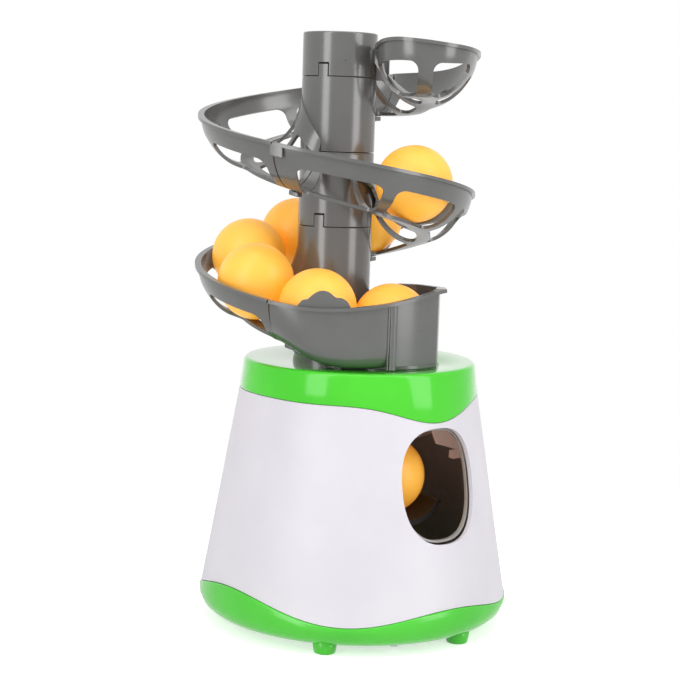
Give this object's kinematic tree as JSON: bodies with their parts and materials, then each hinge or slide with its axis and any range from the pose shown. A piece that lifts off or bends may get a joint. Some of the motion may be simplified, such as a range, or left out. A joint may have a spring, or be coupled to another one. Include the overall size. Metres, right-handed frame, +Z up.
{
  "type": "table tennis robot",
  "caption": "Table tennis ball launcher: a tapered body with a launch opening and feed hole, under a spiral track that rolls balls down to an electric hammer.",
  "frame": {"origin": "middle of the whole object's bounding box, on the floor under the feet", "axes": "+Z up, the ball is launched along -Y, +X to the right seen from the launch side's back"},
  "size_m": [0.1628, 0.18, 0.3082],
  "materials": {
    "white_plastic": "smooth, slightly glossy",
    "green_plastic": "smooth, glossy",
    "grey_plastic": "smooth, glossy",
    "ball_plastic": "fine matte",
    "dark_plastic": "plain moulded",
    "gear_plastic": "plain moulded",
    "steel": "plain",
    "rubber": "matte",
    "cell_sleeve": "printed film with no print"
  },
  "bodies": {
    "stand": {"base_pan": "green_plastic", "body_shell": "white_plastic", "top_lid": "green_plastic", "feed_tray": "grey_plastic", "tower_module_c": "grey_plastic", "tower_module_b": "grey_plastic", "tower_module_a": "grey_plastic", "tower_start": "grey_plastic", "battery_cell_1": "cell_sleeve", "battery_cell_2": "cell_sleeve", "battery_cell_3": "cell_sleeve", "battery_cell_4": "cell_sleeve", "battery_contact_left": "steel", "battery_contact_right": "steel", "gearbox_plate_left": "dark_plastic", "gearbox_plate_right": "dark_plastic", "drive_axle": "steel", "reduction_axle": "steel", "motor": "steel", "hammer_guide": "dark_plastic", "hammer_spring": "steel", "spring_post": "dark_plastic", "ball_chute": "dark_plastic", "launch_cradle": "dark_plastic", "muzzle_liner": "grey_plastic", "gate_bracket": "dark_plastic", "switch_body": "dark_plastic", "base_screw_1": "steel", "base_screw_2": "steel", "base_screw_3": "steel", "base_screw_4": "steel"},
    "ball_1": {"ball_1": "ball_plastic"},
    "ball_2": {"ball_2": "ball_plastic"},
    "ball_3": {"ball_3": "ball_plastic"},
    "ball_4": {"ball_4": "ball_plastic"},
    "ball_5": {"ball_5": "ball_plastic"},
    "ball_6": {"ball_6": "ball_plastic"},
    "ball_7": {"ball_7": "ball_plastic"},
    "ball_8": {"ball_8": "ball_plastic"},
    "drive": {"drive_gear": "gear_plastic"},
    "reduction": {"reduction_gear": "gear_plastic"},
    "motor_pinion": {"motor_pinion": "steel"},
    "hammer": {"hammer": "dark_plastic", "striker_pad": "rubber", "feed_gate": "gear_plastic"},
    "switch_knob": {"switch_knob": "dark_plastic"},
    "battery_door": {"battery_door": "green_plastic"}
  },
  "joints": [
    {"name": "ball_1_roll", "type": "hinge", "parent": "stand", "child": "ball_1", "pos_m": [-0.00111, 0.01911, 0.2313], "axis": [0.2371, 0.0863, 0.9676], "range_deg": [0, 24]},
    {"name": "ball_2_lift", "type": "slide", "parent": "stand", "child": "ball_2", "axis": [-0.1255, 0.219, 0.9676], "range_m": [0, 0.018]},
    {"name": "ball_3_lift", "type": "slide", "parent": "stand", "child": "ball_3", "axis": [-0.2469, 0.0522, 0.9676], "range_m": [0, 0.018]},
    {"name": "ball_4_lift", "type": "slide", "parent": "stand", "child": "ball_4", "axis": [-0.2033, -0.1495, 0.9676], "range_m": [0, 0.018]},
    {"name": "ball_5_lift", "type": "slide", "parent": "stand", "child": "ball_5", "axis": [-0.0238, -0.2512, 0.9676], "range_m": [0, 0.018]},
    {"name": "ball_6_lift", "type": "slide", "parent": "stand", "child": "ball_6", "axis": [0.1716, -0.185, 0.9676], "range_m": [0, 0.018]},
    {"name": "ball_7_lift", "type": "slide", "parent": "stand", "child": "ball_7", "axis": [0.1729, -0.0719, 0.9823], "range_m": [0, 0.01]},
    {"name": "ball_8_launch", "type": "slide", "parent": "stand", "child": "ball_8", "axis": [0, -1, 0], "range_m": [0, 0.07]},
    {"name": "drive_turn", "type": "hinge", "parent": "stand", "child": "drive", "pos_m": [0, 0.02737, 0.059], "axis": [-1, 0, 0], "range_deg": [0, 79]},
    {"name": "reduction_turn", "type": "hinge", "parent": "stand", "child": "reduction", "pos_m": [0, 0.00837, 0.04272], "axis": [-1, 0, 0], "range_deg": [-316.5, 0]},
    {"name": "motor_turn", "type": "hinge", "parent": "stand", "child": "motor_pinion", "pos_m": [0, 0.02437, 0.03072], "axis": [-1, 0, 0], "range_deg": [0, 1264.5]},
    {"name": "hammer_slide", "type": "slide", "parent": "stand", "child": "hammer", "axis": [0, 1, 0], "range_m": [0, 0.0221], "deforming": ["hammer_spring"]},
    {"name": "switch_slide", "type": "slide", "parent": "stand", "child": "switch_knob", "axis": [1, 0, 0], "range_m": [0, 0.005]},
    {"name": "door_off", "type": "slide", "parent": "stand", "child": "battery_door", "axis": [0, 0, -1], "range_m": [0, 0.03]}
  ],
  "couplings": [
    {"joint": "hammer_slide", "follows": "drive_turn", "m_per_rad": 0.016},
    {"joint": "reduction_turn", "follows": "drive_turn", "ratio": -4},
    {"joint": "motor_turn", "follows": "drive_turn", "ratio": 16}
  ]
}
